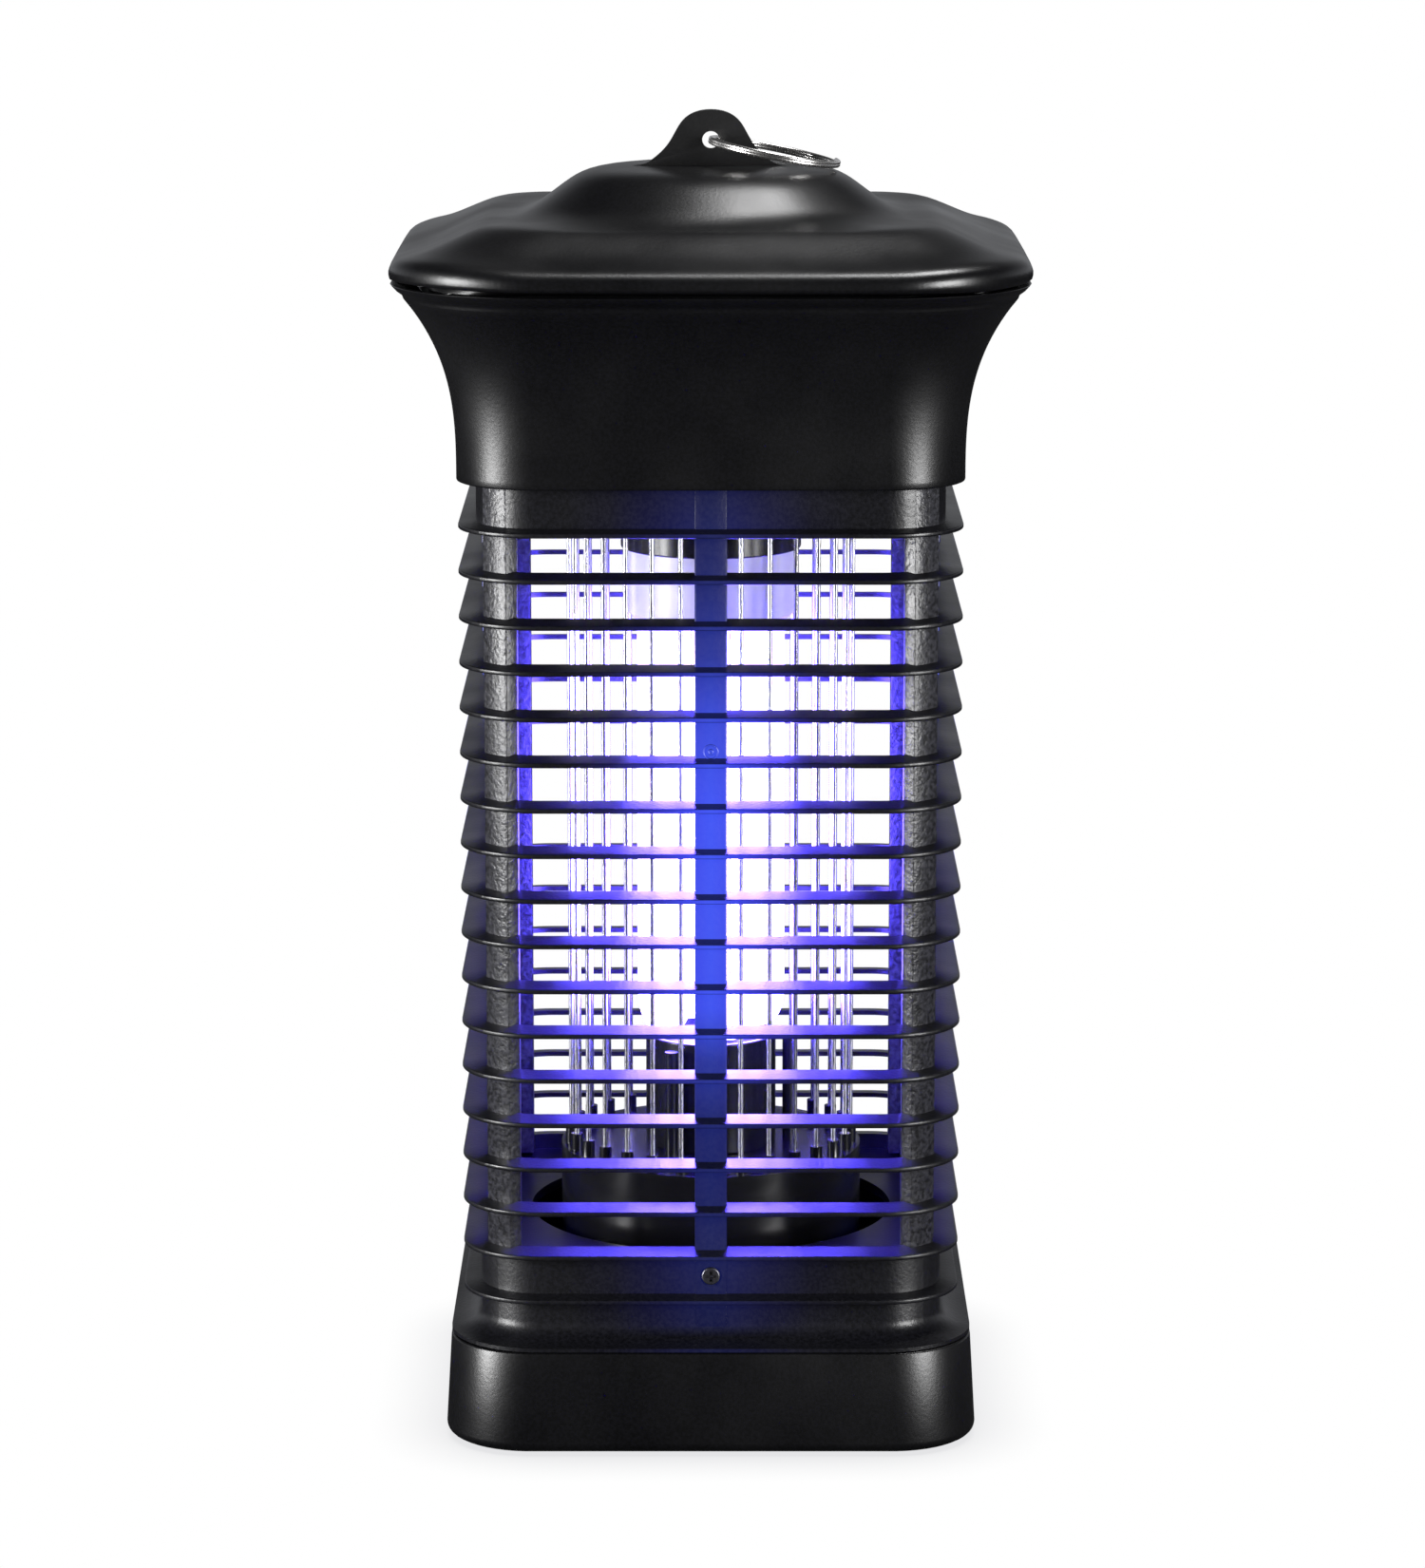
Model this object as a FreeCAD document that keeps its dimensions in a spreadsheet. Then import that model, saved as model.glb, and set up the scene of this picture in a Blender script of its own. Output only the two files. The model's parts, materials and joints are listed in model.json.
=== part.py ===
import FreeCAD, Part
import math
import os

from FreeCAD import Placement, Rotation, Vector
import Sketcher

# Hanging electric insect killer: a square lantern of louvres round a circular grid of
# high-voltage wires, with a folded ultraviolet lamp in the middle, a flared housing for the
# circuit above it and a pull-off tray below. Millimetres, +Z up, +X right, -Y the front.
# The origin is the middle of the surface that the foot pads stand on.

doc = FreeCAD.newDocument("InsectKiller")

# ---------------------------------------------------------------- driving dimensions

DIMENSIONS = {
    # tray and feet
    "tray_bottom": 0.8, "tray_top": 25.6, "tray_foot_half": 64.8, "tray_rim_half": 63.4,
    "tray_corner": 21.0, "wall": 2.0, "tongue_half": 51.0, "tongue_top": 36.0,
    "tongue_width": 14.0,
    "pad_radius": 6.0, "pad_height": 1.8, "pad_place": 46.0,
    # louvred cage
    "lip_half": 60.3, "lip_corner": 19.2, "louvre_pitch": 11.0, "louvre_first": 223.8,
    "louvre_count": 18, "louvre_rise": 0.8, "louvre_thick": 1.2, "cage_half": 56.0,
    "cage_foot": 25.9, "cage_foot_half": 63.4, "cage_top": 240.0, "rib_width": 7.7,
    "rib_depth": 2.4, "rib_proud": 0.25, "post_inner": 46.0, "post_edge": 48.4,
    "cage_screw_height": 43.0, "cage_screw_hole": 1.3, "cage_screw_well": 2.6,
    "cage_screw_seat": 0.7, "cage_screw_head": 2.2, "cage_screw_shank": 1.1,
    "cage_screw_high": 1.2, "cage_screw_long": 9.0,
    # floor under the grid and the drum that carries it
    "floor_top": 46.0, "floor_thick": 2.4, "floor_half": 53.7, "well_radius": 45.0,
    "screw_boss_deep": 5.0, "screw_boss_half": 3.5, "arm_deep": 4.0, "arm_width": 3.0,
    "drum_radius": 37.4, "drum_top": 62.6, "drum_bottom": 34.0,
    "wire_circle": 35.0, "wire_radius": 0.62, "wire_count": 30, "wire_phase": 6.0,
    "boss_radius": 1.5, "boss_height": 4.3, "insulator_bottom": 228.0, "insulator_radius": 40.0,
    # lamp
    "pedestal_radius": 16.2, "pedestal_top": 90.6, "tube_radius": 4.6, "tube_circle": 13.6,
    "tube_bottom": 91.0, "ballast_bottom": 196.0, "ballast_top": 216.0,
    "ballast_radius": 20.8, "holder_bottom": 213.0, "holder_radius": 22.2,
    # housing, deck and roof
    "deck_bottom": 240.0, "deck_thick": 2.5, "deck_half": 57.9,
    "housing_bottom": 235.2, "housing_top": 282.0, "waist_half": 60.6, "brim_half": 76.2,
    "waist_corner": 20.0, "brim_corner": 38.5, "shell": 2.2, "pillar_place": 38.0,
    "roof_bottom": 282.3, "roof_top": 306.0,
    # hanger
    "hanger_thick": 2.0, "eye_height": 312.6, "eye_radius": 2.1, "hanger_top": 319.9,
    "ring_radius": 16.6, "ring_wire": 0.65, "ring_droop": 11.0,
    # circuit and cord inlet
    "board_height": 256.0, "board_across": 66.0, "board_along": 56.0, "board_thick": 1.6,
    "can_radius": 3.6, "can_height": 13.0,
    "inlet_height": 252.0, "cord_radius": 3.6, "inlet_outer": 7.0,
}

sheet = doc.addObject("Spreadsheet::Sheet", "Dims")
for row, (alias, value) in enumerate(DIMENSIONS.items(), start=1):
    sheet.set("A%d" % row, str(value))
    sheet.setAlias("A%d" % row, alias)
doc.recompute()

UP = Vector(0, 0, 1)
CENTRE = Vector(0, 0, 0)
QUARTERS = (0, 90, 180, 270)
parts = {}


def dim(alias):
    """The value of one cell of the sheet."""
    return float(sheet.get(alias))


def value_of(expression):
    """The number that an expression on the sheet gives now."""
    return float(sheet.evalExpression(expression))


def cells(text):
    """Write Dims. before every alias in a short formula."""
    words = text.replace("(", " ( ").replace(")", " ) ").split()
    return " ".join("Dims." + word if word in DIMENSIONS else word for word in words)


# ---------------------------------------------------------------- helpers for bodies

def new_body(name):
    """An empty body that will be one sub-part, labelled with its node's name."""
    body = doc.addObject("PartDesign::Body", name)
    body.Label = name
    parts[name] = body
    return body


def plane(body, role):
    return next(f for f in body.Origin.OriginFeatures if f.Role == role)


def new_sketch(body, role, height=None):
    """A sketch on one of the body's own origin planes, raised by a formula."""
    sketch = body.newObject("Sketcher::SketchObject", "Sketch")
    sketch.AttachmentSupport = [(plane(body, role), "")]
    sketch.MapMode = "FlatFace"
    if height is not None:
        sketch.setExpression(".AttachmentOffset.Base.z", cells(height))
    return sketch


def bind(sketch, kind, where, formula):
    """Add a sketch constraint whose value follows a formula on the sheet."""
    index = sketch.addConstraint(Sketcher.Constraint(kind, *where, value_of(cells(formula))))
    sketch.setExpression("Constraints[%d]" % index, cells(formula))


def place_point(sketch, line, end, across, up):
    """Hold one end of a line at two formulas, measured from the sketch's origin."""
    for kind, formula in (("DistanceX", across), ("DistanceY", up)):
        if abs(value_of(cells(formula))) < 1e-9:
            axis = -2 if kind == "DistanceX" else -1
            sketch.addConstraint(Sketcher.Constraint("PointOnObject", line, end, axis))
        else:
            bind(sketch, kind, (-1, 1, line, end), formula)


def polygon(sketch, points):
    """A closed outline of straight lines with every corner driven by the sheet."""
    corners = [Vector(value_of(cells(a)), value_of(cells(b)), 0) for a, b in points]
    count = len(corners)
    for i in range(count):
        sketch.addGeometry(Part.LineSegment(corners[i], corners[(i + 1) % count]), False)
    for i in range(count):
        sketch.addConstraint(Sketcher.Constraint("Coincident", i, 2, (i + 1) % count, 1))
        place_point(sketch, i, 1, *points[i])


def circle(sketch, across, up, radius):
    """A circle whose centre and radius are driven by the sheet."""
    centre = Vector(value_of(cells(across)), value_of(cells(up)), 0)
    index = sketch.addGeometry(Part.Circle(centre, UP, value_of(cells(radius))), False)
    place_point(sketch, index, 3, across, up)
    bind(sketch, "Radius", (index,), radius)


def rounded_square(sketch, half, corner):
    """A square about the origin with round corners, driven by the sheet."""
    size, radius = value_of(cells(half)), value_of(cells(corner))
    inner = size - radius
    for turn in range(4):
        spin = Rotation(UP, 90 * turn)
        start, end = spin.multVec(Vector(-inner, -size, 0)), spin.multVec(Vector(inner, -size, 0))
        sketch.addGeometry(Part.LineSegment(start, end), False)
        middle = Part.Circle(spin.multVec(Vector(inner, -inner, 0)), UP, radius)
        first = math.radians(90 * turn - 90)
        sketch.addGeometry(Part.ArcOfCircle(middle, first, first + math.pi / 2), False)
    for turn in range(4):
        line, arc, following = 2 * turn, 2 * turn + 1, (2 * turn + 2) % 8
        sketch.addConstraint(Sketcher.Constraint("Tangent", line, 2, arc, 1))
        sketch.addConstraint(Sketcher.Constraint("Tangent", arc, 2, following, 1))
        if turn:
            sketch.addConstraint(Sketcher.Constraint("Equal", 1, arc))
    sketch.addConstraint(Sketcher.Constraint("Horizontal", 0))
    for line, kind, sign in ((0, "DistanceY", "-1"), (2, "DistanceX", "1"),
                             (4, "DistanceY", "1"), (6, "DistanceX", "-1")):
        bind(sketch, kind, (-1, 1, line, 1), "%s * ( %s )" % (sign, half))
    bind(sketch, "Radius", (1,), corner)


def pad(body, sketch, length, symmetric=False, reverse=False):
    feature = body.newObject("PartDesign::Pad", "Pad")
    feature.Profile = sketch
    feature.setExpression("Length", cells(length))
    feature.Midplane = symmetric
    feature.Reversed = reverse
    return feature


def pocket(body, sketch, length, reverse=False):
    """A cut that must take material away, so the volume is compared."""
    doc.recompute()
    before = body.Shape.Volume
    feature = body.newObject("PartDesign::Pocket", "Pocket")
    feature.Profile = sketch
    feature.setExpression("Length", cells(length))
    feature.Reversed = reverse
    doc.recompute()
    if body.Shape.Volume >= before - 1e-6:
        raise RuntimeError("a pocket in %s cuts nothing" % body.Label)
    return feature


def revolved(name, points):
    """A body turned about the vertical axis from an outline of (radius, height)."""
    body = new_body(name)
    sketch = new_sketch(body, "XZ_Plane")
    polygon(sketch, points)
    turn = body.newObject("PartDesign::Revolution", "Revolution")
    turn.Profile = sketch
    turn.ReferenceAxis = (sketch, ["V_Axis"])
    turn.Angle = 360
    doc.recompute()
    return body


def loft(body, kind, sections, ruled=False):
    """Join rounded squares, given as (height, half width, corner) formulas."""
    sketches = []
    for height, half, corner in sections:
        sketch = new_sketch(body, "XY_Plane", height)
        rounded_square(sketch, half, corner)
        sketches.append(sketch)
    feature = body.newObject("PartDesign::" + kind, kind)
    feature.Profile = sketches[0]
    feature.Sections = sketches[1:]
    feature.Ruled = ruled
    doc.recompute()
    return feature


def polar(body, feature, count):
    """Repeat the last feature evenly about the vertical axis."""
    pattern = body.newObject("PartDesign::PolarPattern", "PolarPattern")
    pattern.Originals = [feature]
    pattern.Axis = (plane(body, "Z_Axis"), [""])
    pattern.Angle = 360
    pattern.setExpression("Occurrences", cells(count))
    body.Tip = pattern
    doc.recompute()
    return pattern


def solid_feature(name, shape, placement=Placement()):
    """A sub-part whose shape comes from Part's own functions."""
    feature = doc.addObject("Part::Feature", name)
    feature.Label = name
    feature.Shape = shape
    feature.Placement = placement
    parts[name] = feature
    return feature


def round_bar(radius, low, high, x=0.0, y=0.0):
    """An upright cylinder between two heights."""
    return Part.makeCylinder(radius, high - low, Vector(x, y, low))


def corners_of(place):
    """The four corners of a square about the axis."""
    return [(sx * place, sy * place) for sx in (-1, 1) for sy in (-1, 1)]


def screw(head_radius, head_height, shank_radius, shank_length):
    """A cross-headed screw standing on its head's underside, shank along +Z."""
    head = Part.makeCylinder(head_radius, head_height, Vector(0, 0, -head_height))
    edge = head.Edges[2] if head.Edges[2].BoundBox.ZMax < -head_height / 2 else head.Edges[0]
    head = head.makeFillet(head_height * 0.35, [edge])
    body = head.fuse(Part.makeCylinder(shank_radius, shank_length))
    slot = Part.makeBox(head_radius * 1.2, head_radius * 0.3, head_height * 0.5,
                        Vector(-head_radius * 0.6, -head_radius * 0.15, -head_height))
    for turn in (0, 90):
        body = body.cut(slot.rotated(CENTRE, UP, turn) if turn else slot)
    return body


# ---------------------------------------------------------------- pull-off tray

def make_tray():
    """Square pan with drawn-in sides, an open top and two latch tongues."""
    body = new_body("collecting_tray")
    loft(body, "AdditiveLoft", [("tray_bottom", "tray_foot_half", "tray_corner"),
                                ("tray_top", "tray_rim_half", "tray_corner")], ruled=True)
    loft(body, "SubtractiveLoft", [
        ("tray_bottom + wall", "tray_foot_half - wall", "tray_corner - wall"),
        ("tray_top + 0.001", "tray_rim_half - wall", "tray_corner - wall")], ruled=True)
    for side in ("-1", "1"):
        sketch = new_sketch(body, "XY_Plane", "tray_bottom + wall / 2")
        inner, outer = "%s * tongue_half" % side, "%s * ( tongue_half + wall )" % side
        near, far = "-0.5 * tongue_width", "0.5 * tongue_width"
        polygon(sketch, [(inner, near), (outer, near), (outer, far), (inner, far)])
        pad(body, sketch, "tongue_top - tray_bottom - wall / 2")
    for x, y in corners_of(1):
        sketch = new_sketch(body, "XY_Plane", "tray_bottom")
        circle(sketch, "%d * pad_place" % x, "%d * pad_place" % y, "pad_radius + 0.1")
        pocket(body, sketch, "pad_height - tray_bottom", reverse=True)


def make_foot_pads():
    """Four soft discs stuck in recesses under the tray."""
    disc = round_bar(dim("pad_radius"), 0, dim("pad_height"))
    low_edge = [e for e in disc.Edges if e.BoundBox.ZMax < 1e-6]
    disc = disc.makeFillet(0.4, low_edge)
    group = [disc.translated(Vector(x, y, 0)) for x, y in corners_of(dim("pad_place"))]
    solid_feature("foot_pads", Part.makeCompound(group))


# ---------------------------------------------------------------- louvred cage

def cage_outline(points):
    """A flat section of the cage wall, from (distance from the middle, height)."""
    corners = [Vector(0, -distance, height) for distance, height in points]
    return Part.Face(Part.makePolygon(corners + corners[:1]))


def wrap_section(section):
    """Carry a wall section along one side and half way round both of its corners."""
    centre = dim("lip_half") - dim("lip_corner")
    straight = section.translated(Vector(-centre, 0, 0)).extrude(Vector(2 * centre, 0, 0))
    right = section.translated(Vector(centre, 0, 0))
    right = right.revolve(Vector(centre, -centre, 0), UP, 45)
    left = section.translated(Vector(-centre, 0, 0))
    left = left.revolve(Vector(-centre, -centre, 0), UP, -45)
    return [straight, right, left]


def louvre_section(number):
    """A blade that slopes down and out from the wall to its lip."""
    lip = dim("louvre_first") - dim("louvre_pitch") * number
    rise, thick, inner = dim("louvre_rise"), dim("louvre_thick"), dim("cage_half") - dim("wall")
    return cage_outline([(dim("lip_half"), lip), (dim("lip_half"), lip + thick),
                         (inner, lip + thick + rise), (inner, lip + rise)])


def corner_columns():
    """Four upright columns whose outsides lie flush with the wall's round corners."""
    centre = dim("lip_half") - dim("lip_corner")
    radius = dim("cage_half") - centre
    edge, inner = dim("post_edge"), dim("post_inner")
    start = math.acos((edge - centre) / radius)
    chamfer = 2.0

    def on_arc(angle):
        return Vector(centre + radius * math.cos(angle), -centre - radius * math.sin(angle), 0)

    left, right = on_arc(start), on_arc(math.pi / 2 - start)
    arc = Part.Arc(left, on_arc(math.pi / 4), right).toShape()
    stops = [right, Vector(right.x - chamfer, -inner, 0), Vector(inner, -inner, 0),
             Vector(inner, left.y + chamfer, 0), left]
    lines = [Part.LineSegment(a, b).toShape() for a, b in zip(stops, stops[1:])]
    face = Part.Face(Part.Wire([arc] + lines))
    low = dim("floor_top") + 0.6
    column = face.translated(Vector(0, 0, low)).extrude(Vector(0, 0, dim("cage_top") - low))
    return [column.rotated(CENTRE, UP, angle) if angle else column for angle in QUARTERS]


def upper_wall_bottom():
    return dim("louvre_first") + dim("louvre_rise")


def lower_wall_top():
    """The last open slot ends on the blade before the last."""
    last_open = dim("louvre_count") - 2
    return dim("louvre_first") - dim("louvre_pitch") * last_open + dim("louvre_rise")


def make_cage():
    """Four equal sides with blades, rib and flared foot, joined at four corner columns."""
    outer, inner = dim("cage_half"), dim("cage_half") - dim("wall")
    foot, foot_half = dim("cage_foot"), dim("cage_foot_half")
    sections = [louvre_section(number) for number in range(int(dim("louvre_count")))]
    sections.append(cage_outline([(inner, upper_wall_bottom()), (outer, upper_wall_bottom()),
                                  (outer, dim("cage_top")), (inner, dim("cage_top"))]))
    sections.append(cage_outline([
        (inner, lower_wall_top()), (outer, lower_wall_top()), (outer, foot + 5.0),
        (outer + 0.8, foot + 3.1), (outer + 3.0, foot + 1.6), (foot_half, foot + 0.9),
        (foot_half, foot), (outer + 3.0, foot), (inner, foot + 3.6)]))
    solids = [solid for section in sections for solid in wrap_section(section)]
    rib_low, rib_front = foot + 3.2, -outer - dim("rib_proud")
    rib = Part.makeBox(dim("rib_width"), dim("rib_depth"), dim("cage_top") - rib_low,
                       Vector(-dim("rib_width") / 2, rib_front, rib_low))
    panel = solids[0].multiFuse(solids[1:] + [rib])
    front, inward = Vector(0, rib_front, dim("cage_screw_height")), Vector(0, 1, 0)
    columns = corner_columns()
    for tool in (columns[0], columns[-1],
                 Part.makeCylinder(dim("cage_screw_hole"), 8, front, inward),
                 Part.makeCylinder(dim("cage_screw_well"), dim("cage_screw_seat"), front, inward)):
        panel = panel.cut(tool)
    panel = panel.removeSplitter()
    for name, angle in zip(("cage_front", "cage_right", "cage_back", "cage_left"), QUARTERS):
        solid_feature(name, panel, Placement(CENTRE, Rotation(UP, angle)))
    solid_feature("cage_columns", Part.makeCompound(columns))


def make_cage_screws():
    """One screw through the foot of each centre rib into the floor's edge."""
    head_seat = dim("cage_half") + dim("rib_proud") - dim("cage_screw_seat")
    one = screw(dim("cage_screw_head"), dim("cage_screw_shank"), dim("cage_screw_high"),
                dim("cage_screw_long"))
    one = one.rotated(CENTRE, Vector(1, 0, 0), -90)
    one = one.translated(Vector(0, -head_seat, dim("cage_screw_height")))
    group = [one.rotated(CENTRE, UP, angle) if angle else one for angle in QUARTERS]
    solid_feature("cage_screws", Part.makeCompound(group))


# ---------------------------------------------------------------- floor and drum

def through_hole(body, role, height, radius):
    """A round hole right through the body, across one of its upright planes."""
    sketch = new_sketch(body, role)
    circle(sketch, "0", height, radius)
    doc.recompute()
    before = body.Shape.Volume
    cut = body.newObject("PartDesign::Pocket", "ScrewHoles")
    cut.Profile = sketch
    cut.Midplane = True
    cut.setExpression("Length", cells("4 * floor_half"))
    doc.recompute()
    if body.Shape.Volume >= before:
        raise RuntimeError("a hole through %s cuts nothing" % body.Label)


def make_floor():
    """Plate with a round well that dead insects fall through, and screw bosses."""
    body = new_body("floor_plate")
    sketch = new_sketch(body, "XY_Plane", "floor_top - floor_thick")
    rounded_square(sketch, "floor_half", "lip_corner - 6.6")
    pad(body, sketch, "floor_thick")
    well = new_sketch(body, "XY_Plane", "floor_top")
    circle(well, "0", "0", "well_radius")
    pocket(body, well, "floor_thick")
    left, right = "-1 * screw_boss_half", "screw_boss_half"
    for side in ("1", "-1"):
        deep = "%s * ( floor_half - screw_boss_deep )" % side
        edge = "%s * floor_half" % side
        for outline in ([(deep, left), (edge, left), (edge, right), (deep, right)],
                        [(left, deep), (right, deep), (right, edge), (left, edge)]):
            sketch = new_sketch(body, "XY_Plane", "cage_screw_height - 3")
            polygon(sketch, outline)
            pad(body, sketch, "floor_top - cage_screw_height + 3")
    for role in ("XZ_Plane", "YZ_Plane"):
        through_hole(body, role, "cage_screw_height", "cage_screw_hole - 0.05")


def wire_angle(turn):
    """Angle of a wire, counted in pitches from the first one."""
    return dim("wire_phase") + turn * 360.0 / dim("wire_count")


def wire_sketch(body, height, turn, radius):
    """A circle on the wire ring, at the place of the wire that stands at this turn."""
    sketch = new_sketch(body, "XY_Plane", height)
    sketch.AttachmentOffset = Placement(CENTRE, Rotation(UP, wire_angle(turn)))
    circle(sketch, "wire_circle", "0", radius)
    return sketch


def make_drum():
    """Disc that carries the wires' lower ends on a ring of bosses, and the skirt under it."""
    body = revolved("lower_insulator", [
        ("0", "drum_top - wall"), ("drum_radius", "drum_top - wall"),
        ("drum_radius", "drum_top"), ("0", "drum_top")])
    boss = pad(body, wire_sketch(body, "drum_top - 0.5", 0, "boss_radius"), "boss_height + 0.5")
    doc.recompute()
    polar(body, boss, "wire_count")
    for turn, depth in ((0, "boss_height - 0.8"), (1, "boss_height + wall")):
        sketch = wire_sketch(body, "drum_top + boss_height", turn, "wire_radius")
        polar(body, pocket(body, sketch, depth), "wire_count / 2")
    revolved("drum_skirt", [
        ("drum_radius - wall", "drum_bottom"), ("drum_radius", "drum_bottom"),
        ("drum_radius", "drum_top - wall"), ("drum_radius - wall", "drum_top - wall")])


def make_drum_arms():
    """Four thin arms that hang the drum in the middle of the well."""
    high = dim("floor_top") - dim("floor_thick")
    low, width = high - dim("arm_deep"), dim("arm_width")
    start, end = dim("drum_radius"), dim("well_radius") + 5
    arm = Part.makeBox(end - start, width, high - low, Vector(start, -width / 2, low))
    arms = [arm.rotated(CENTRE, UP, angle) for angle in (45, 135, 225, 315)]
    drum = round_bar(dim("drum_radius"), low - 1, high + 1)
    solid_feature("drum_arms", Part.makeCompound([one.cut(drum) for one in arms]))


def make_grid():
    """Thirty upright wires, every other one live, with a contact ring for each set."""
    under_drum = dim("drum_top") - dim("wall")
    blind_top, through_top = dim("insulator_bottom") + 0.7, dim("insulator_bottom") + 1.5
    wires = (("live_wires", 0, dim("drum_top") + 0.8, through_top),
             ("return_wires", 1, under_drum, blind_top))
    for name, first, low, high in wires:
        group = []
        for number in range(first, int(dim("wire_count")), 2):
            angle = math.radians(wire_angle(number))
            x, y = dim("wire_circle") * math.cos(angle), dim("wire_circle") * math.sin(angle)
            group.append(round_bar(dim("wire_radius"), low, high, x, y))
        solid_feature(name, Part.makeCompound(group))
    inner, outer = dim("wire_circle") - 2.0, dim("wire_circle") + 0.3
    for name, low in (("live_contact_ring", through_top),
                      ("return_contact_ring", under_drum - 0.5)):
        ring = round_bar(outer, low, low + 0.5).cut(round_bar(inner, low, low + 0.5))
        solid_feature(name, ring)


def make_upper_insulator():
    """Disc that holds the wires' upper ends and lets the lamp holder through."""
    body = revolved("upper_insulator", [
        ("holder_radius + 0.6", "insulator_bottom"), ("insulator_radius", "insulator_bottom"),
        ("insulator_radius", "insulator_bottom + 3"),
        ("holder_radius + 3", "insulator_bottom + 3"),
        ("holder_radius + 3", "deck_bottom"), ("holder_radius + 0.6", "deck_bottom")])
    sketch = wire_sketch(body, "insulator_bottom + 0.5", 0, "boss_radius")
    boss = pad(body, sketch, "boss_height - 0.8", reverse=True)
    doc.recompute()
    polar(body, boss, "wire_count")
    for turn, height in ((0, "insulator_bottom + 1.5"), (1, "insulator_bottom + 0.7")):
        hole = pocket(body, wire_sketch(body, height, turn, "wire_radius"), "boss_height + 2")
        polar(body, hole, "wire_count / 2")
    groove = new_sketch(body, "XY_Plane", "insulator_bottom + 3")
    circle(groove, "0", "0", "wire_circle + 0.4")
    circle(groove, "0", "0", "wire_circle - 2.1")
    pocket(body, groove, "1.5")


# ---------------------------------------------------------------- lamp

def make_lamp():
    """Folded-tube ultraviolet lamp, its holder above and its rest below."""
    revolved("lamp_rest", [
        ("0", "drum_top"), ("pedestal_radius", "drum_top"),
        ("pedestal_radius", "pedestal_top"), ("pedestal_radius - 1.6", "pedestal_top"),
        ("pedestal_radius - 1.6", "pedestal_top - 2.2"), ("0", "pedestal_top - 2.2")])
    revolved("lamp_ballast", [
        ("0", "ballast_bottom"), ("ballast_radius - 1.2", "ballast_bottom"),
        ("ballast_radius", "ballast_bottom + 1.2"), ("ballast_radius", "ballast_top"),
        ("13.4", "ballast_top + 7"), ("0", "ballast_top + 7")])
    revolved("lamp_screw_cap", [
        ("0", "ballast_top + 7"), ("13.0", "ballast_top + 7"), ("13.0", "ballast_top + 23"),
        ("9.0", "ballast_top + 26"), ("4.5", "ballast_top + 28"), ("0", "ballast_top + 28")])
    revolved("lamp_holder", [
        ("ballast_radius + 0.4", "holder_bottom"), ("holder_radius", "holder_bottom"),
        ("holder_radius", "deck_bottom + deck_thick + 6"),
        ("0", "deck_bottom + deck_thick + 6"), ("0", "deck_bottom + deck_thick + 3"),
        ("13.4", "deck_bottom + deck_thick + 3"), ("13.4", "ballast_top + 8.5"),
        ("ballast_radius + 0.4", "ballast_top + 1.5")])
    radius, bend = dim("tube_radius"), dim("tube_circle") * math.sin(math.radians(22.5))
    low, high = dim("tube_bottom") + radius + bend, dim("ballast_bottom")
    reach = dim("tube_circle") * math.cos(math.radians(22.5))
    path = Part.Wire([
        Part.LineSegment(Vector(reach, -bend, high), Vector(reach, -bend, low)).toShape(),
        Part.Arc(Vector(reach, -bend, low), Vector(reach, 0, low - bend),
                 Vector(reach, bend, low)).toShape(),
        Part.LineSegment(Vector(reach, bend, low), Vector(reach, bend, high)).toShape()])
    section = Part.Wire([Part.Circle(Vector(reach, -bend, high), UP, radius).toShape()])
    fold = path.makePipeShell([section], True, False)
    folds = [fold.rotated(CENTRE, UP, angle) for angle in (22.5, 112.5, 202.5, 292.5)]
    solid_feature("lamp_tubes", Part.makeCompound(folds))


def make_rest_posts():
    """Three slim pegs round the lamp rest that steady the folded tubes."""
    posts = []
    for angle in (0, 120, 240):
        x, y = 19.5 * math.cos(math.radians(angle)), 19.5 * math.sin(math.radians(angle))
        posts.append(round_bar(1.6, dim("drum_top"), dim("pedestal_top") - 1.5, x, y))
    solid_feature("lamp_pegs", Part.makeCompound(posts))


# ---------------------------------------------------------------- housing and deck

def flare(step, steps, inset):
    """Section of the flared wall: its width grows with the cube of the height."""
    share = "( %d / %d )" % (step, steps)
    cube = "%s * %s * %s" % (share, share, share)
    height = "housing_bottom + ( housing_top - housing_bottom ) * %s" % share
    half = "waist_half - %s + ( brim_half - waist_half ) * %s" % (inset, cube)
    corner = "waist_corner - %s + ( brim_corner - waist_corner ) * %s" % (inset, cube)
    return height, half, corner


def make_housing():
    """Flared square shell, open at both ends, with a hole for the cord inlet."""
    body = new_body("upper_housing")
    steps = 8
    loft(body, "AdditiveLoft", [flare(i, steps, "0") for i in range(steps + 1)])
    loft(body, "SubtractiveLoft", [flare(i, steps, "shell") for i in range(steps + 1)])
    sketch = new_sketch(body, "XZ_Plane")
    circle(sketch, "0", "inlet_height", "inlet_outer - 2")
    pocket(body, sketch, "2 * waist_half")


def make_deck():
    """Plate that closes the circuit bay and carries the lamp holder."""
    body = new_body("deck_plate")
    sketch = new_sketch(body, "XY_Plane", "deck_bottom")
    rounded_square(sketch, "deck_half", "waist_corner - 3")
    pad(body, sketch, "deck_thick")
    hole = new_sketch(body, "XY_Plane", "deck_bottom + deck_thick")
    circle(hole, "0", "0", "holder_radius + 0.3")
    for x, y in corners_of(1):
        circle(hole, "%d * pillar_place" % x, "%d * pillar_place" % y, "1.8")
    pocket(body, hole, "deck_thick")


# ---------------------------------------------------------------- roof and hanger

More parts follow.
